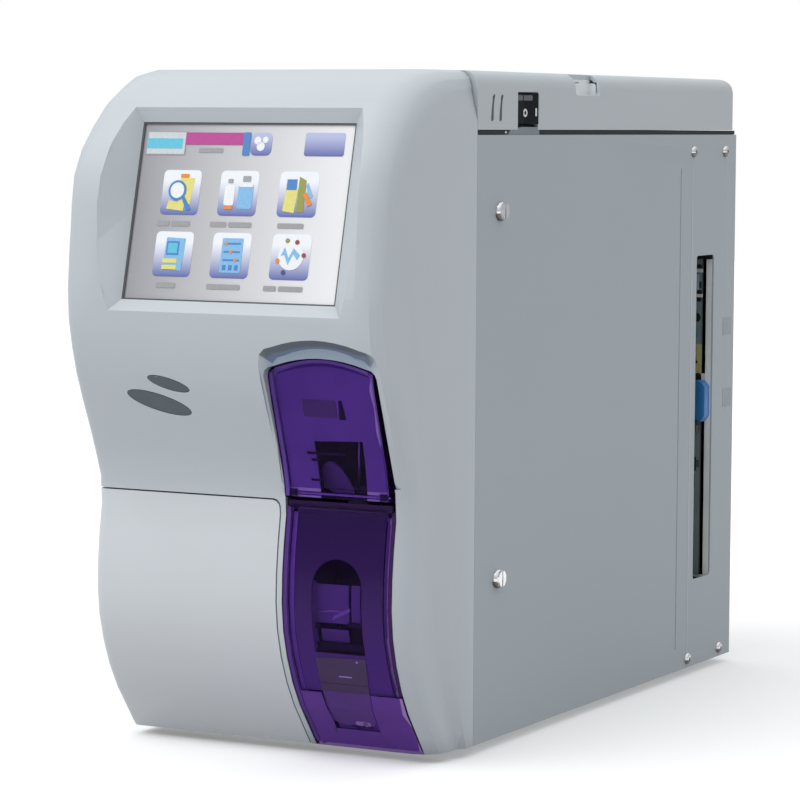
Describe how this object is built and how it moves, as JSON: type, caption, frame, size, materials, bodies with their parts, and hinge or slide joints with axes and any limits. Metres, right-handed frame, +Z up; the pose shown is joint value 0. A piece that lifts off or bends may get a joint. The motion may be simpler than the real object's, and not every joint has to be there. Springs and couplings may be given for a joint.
{
  "type": "benchtop clinical analyser",
  "caption": "Compact benchtop clinical analyser with a tilted touch display, a purple tilting tube door and probe cover, a service door and its inner piercing and fluid mechanisms.",
  "frame": {"origin": "centre of the bounding box's underside, on the surface that the feet stand on", "axes": "+Z up, the front faces -Y, +X is the instrument's right-hand side as seen from the front"},
  "size_m": [0.192, 0.46, 0.35],
  "materials": {
    "aluminium": "milled",
    "black_plastic": "satin",
    "blue_plastic": "gloss",
    "board_green": "solder mask",
    "chrome": "polished",
    "clear_acrylic": "polished and see-through",
    "clear_purple": "polished and see-through",
    "grey_plastic": "satin",
    "moulding": "fine spark texture",
    "panel_paint": "fine textured paint",
    "rubber": "matte",
    "screen": "gloss",
    "silicone_tube": "soft",
    "smoked_lens": "satin",
    "white_plastic": "satin",
    "zinc_steel": "zinc plated"
  },
  "bodies": {
    "chassis": {"base_pan": "zinc_steel", "bulkhead": "zinc_steel", "connector_bay_wall": "white_plastic", "detector_block": "clear_acrylic", "diluent_line": "silicone_tube", "fan_guard": "chrome", "fan_housing": "black_plastic", "fluid_port_block": "white_plastic", "foot_front_left": "rubber", "foot_front_right": "rubber", "foot_rear_left": "rubber", "foot_rear_right": "rubber", "front_bezel": "moulding", "guide_rod_left": "chrome", "guide_rod_right": "chrome", "lamp_board": "board_green", "lcd_board": "board_green", "lcd_module": "zinc_steel", "main_board": "board_green", "piercer_frame": "aluminium", "piercer_motor": "black_plastic", "power_inlet": "black_plastic", "power_supply": "zinc_steel", "probe_cover_pin": "chrome", "rear_panel": "panel_paint", "rinse_cup": "white_plastic", "sample_bay_housing": "grey_plastic", "sample_door_pin": "chrome", "screen_gasket": "rubber", "serial_connector": "blue_plastic", "service_door_pin": "chrome", "side_panel_left": "panel_paint", "side_panel_right": "panel_paint", "status_lens_large": "smoked_lens", "status_lens_small": "smoked_lens", "switch_housing": "grey_plastic", "syringe_barrel": "clear_acrylic", "syringe_bracket": "aluminium", "syringe_motor": "black_plastic", "thumb_screw_left_lower": "chrome", "thumb_screw_left_upper": "chrome", "thumb_screw_right_lower": "chrome", "thumb_screw_right_upper": "chrome", "top_cover": "moulding", "top_frame": "zinc_steel", "touch_panel": "screen", "vacuum_pump": "grey_plastic", "valve_manifold": "clear_acrylic", "waste_chamber": "clear_acrylic"},
    "service_door": {"service_door": "moulding"},
    "sample_door": {"sample_door": "clear_purple", "sample_door_liner": "clear_purple", "tube_adapter": "black_plastic"},
    "probe_cover": {"probe_cover": "clear_purple"},
    "power_rocker": {"power_rocker": "black_plastic"},
    "fan_rotor": {"fan_rotor": "black_plastic"},
    "piercer": {"piercer_carriage": "grey_plastic", "sample_needle": "chrome"},
    "lead_screw": {"lead_screw": "chrome"},
    "plunger": {"syringe_plunger": "white_plastic"}
  },
  "joints": [
    {"name": "service_door_hinge", "type": "hinge", "parent": "chassis", "child": "service_door", "pos_m": [-0.0901, -0.17209, 0.077], "axis": [0, 0, -1], "range_deg": [0, 95]},
    {"name": "sample_door_tilt", "type": "hinge", "parent": "chassis", "child": "sample_door", "pos_m": [0.0495, -0.1595, 0.0095], "axis": [1, 0, 0], "range_deg": [0, 30]},
    {"name": "probe_cover_hinge", "type": "hinge", "parent": "chassis", "child": "probe_cover", "pos_m": [0.0495, -0.19773, 0.1385], "axis": [1, 0, 0], "range_deg": [0, 75]},
    {"name": "power_rocker_tilt", "type": "hinge", "parent": "chassis", "child": "power_rocker", "pos_m": [0.085, -0.074, 0.331], "axis": [0, 0, 1], "range_deg": [0, 12]},
    {"name": "fan_spin", "type": "hinge", "parent": "chassis", "child": "fan_rotor", "pos_m": [-0.03, 0.20115, 0.235], "axis": [0, 1, 0], "continuous": true},
    {"name": "piercer_slide", "type": "slide", "parent": "chassis", "child": "piercer", "axis": [0, 0, 1], "range_m": [-0.055, 0]},
    {"name": "lead_screw_turn", "type": "hinge", "parent": "chassis", "child": "lead_screw", "pos_m": [0.0495, -0.1175, 0.13], "axis": [0, 0, 1], "range_deg": [0, 1651]},
    {"name": "plunger_slide", "type": "slide", "parent": "chassis", "child": "plunger", "axis": [0, 0, 1], "range_m": [-0.028, 0]}
  ],
  "couplings": [
    {"joint": "lead_screw_turn", "follows": "piercer_slide", "rad_per_m": -523.6}
  ]
}
